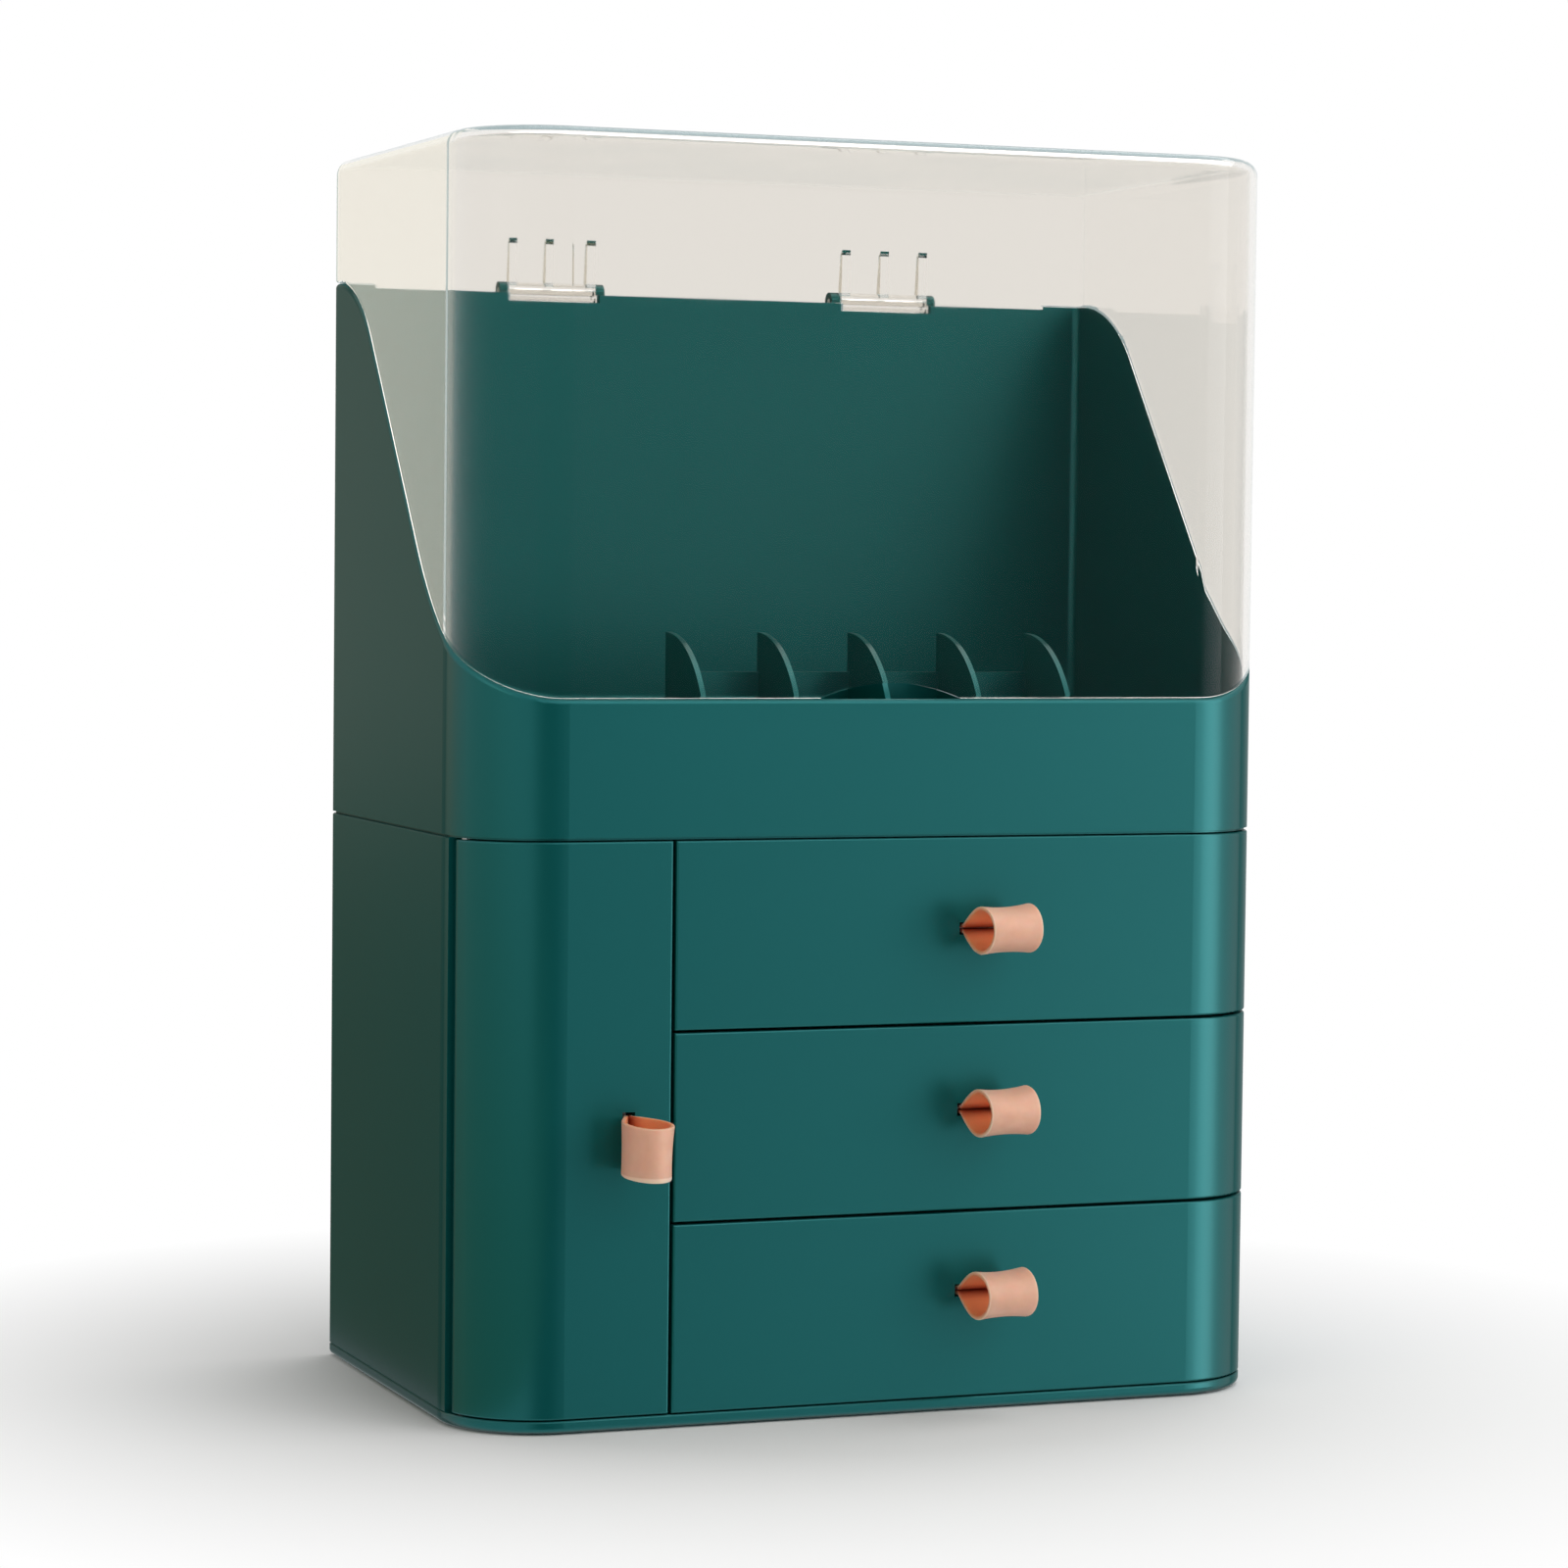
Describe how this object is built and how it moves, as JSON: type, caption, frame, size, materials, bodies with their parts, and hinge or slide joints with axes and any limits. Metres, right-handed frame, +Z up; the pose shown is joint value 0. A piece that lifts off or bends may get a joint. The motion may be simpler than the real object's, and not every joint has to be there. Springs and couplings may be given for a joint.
{
  "type": "makeup organizer with drawer",
  "caption": "Upright makeup organizer: a cabinet with a curved door and drawers on strap pulls, a tray with a sloping rim and lipstick rack on it, and a clear hinged hood.",
  "frame": {"origin": "middle of the body's footprint, on the surface that the organizer stands on", "axes": "+X to the right, +Y to the back, +Z up; the door and the drawers face -Y"},
  "size_m": [0.26, 0.1859, 0.38],
  "materials": {
    "green_plastic": "satin, dark teal green",
    "clear_plastic": "clear, faintly smoked",
    "peach_strap": "smooth, peach",
    "pad_rubber": "matt",
    "steel": "plain"
  },
  "bodies": {
    "cabinet": {"base_plate": "green_plastic", "anti_slip_pads": "pad_rubber", "base_screws": "steel", "cabinet_shell": "green_plastic", "partition": "green_plastic", "bay_shelf_lower": "green_plastic", "bay_shelf_upper": "green_plastic", "drawer_shelf_lower": "green_plastic", "drawer_shelf_upper": "green_plastic", "door_magnet": "steel", "tray_shell": "green_plastic", "lipstick_rack": "green_plastic", "hood_hinge_pin_left": "clear_plastic", "hood_hinge_pin_right": "clear_plastic", "door_hinge_pin_lower": "steel", "door_hinge_pin_upper": "steel"},
    "hood": {"hood_shell": "clear_plastic"},
    "door": {"door_panel": "green_plastic", "door_strike": "steel", "door_pull": "peach_strap", "door_pull_clamp": "green_plastic", "door_pull_pin": "steel"},
    "drawer_bottom": {"drawer_front_bottom": "green_plastic", "drawer_box_bottom": "green_plastic", "drawer_screws_bottom": "steel", "drawer_pull_bottom": "peach_strap", "drawer_pull_clamp_bottom": "green_plastic", "drawer_pull_pin_bottom": "steel"},
    "drawer_middle": {"drawer_front_middle": "green_plastic", "drawer_box_middle": "green_plastic", "drawer_screws_middle": "steel", "drawer_pull_middle": "peach_strap", "drawer_pull_clamp_middle": "green_plastic", "drawer_pull_pin_middle": "steel"},
    "drawer_top": {"drawer_front_top": "green_plastic", "drawer_box_top": "green_plastic", "drawer_screws_top": "steel", "drawer_pull_top": "peach_strap", "drawer_pull_clamp_top": "green_plastic", "drawer_pull_pin_top": "steel"}
  },
  "joints": [
    {"name": "hood_hinge", "type": "hinge", "parent": "cabinet", "child": "hood", "pos_m": [0, 0.0795, 0.3406], "axis": [-1, 0, 0], "range_deg": [0, 105]},
    {"name": "door_hinge", "type": "hinge", "parent": "cabinet", "child": "door", "pos_m": [-0.1251, -0.0558, 0.08895], "axis": [0, 0, -1], "range_deg": [0, 105]},
    {"name": "drawer_slide_bottom", "type": "slide", "parent": "cabinet", "child": "drawer_bottom", "axis": [0, -1, 0], "range_m": [0, 0.102]},
    {"name": "drawer_slide_middle", "type": "slide", "parent": "cabinet", "child": "drawer_middle", "axis": [0, -1, 0], "range_m": [0, 0.102]},
    {"name": "drawer_slide_top", "type": "slide", "parent": "cabinet", "child": "drawer_top", "axis": [0, -1, 0], "range_m": [0, 0.102]}
  ]
}
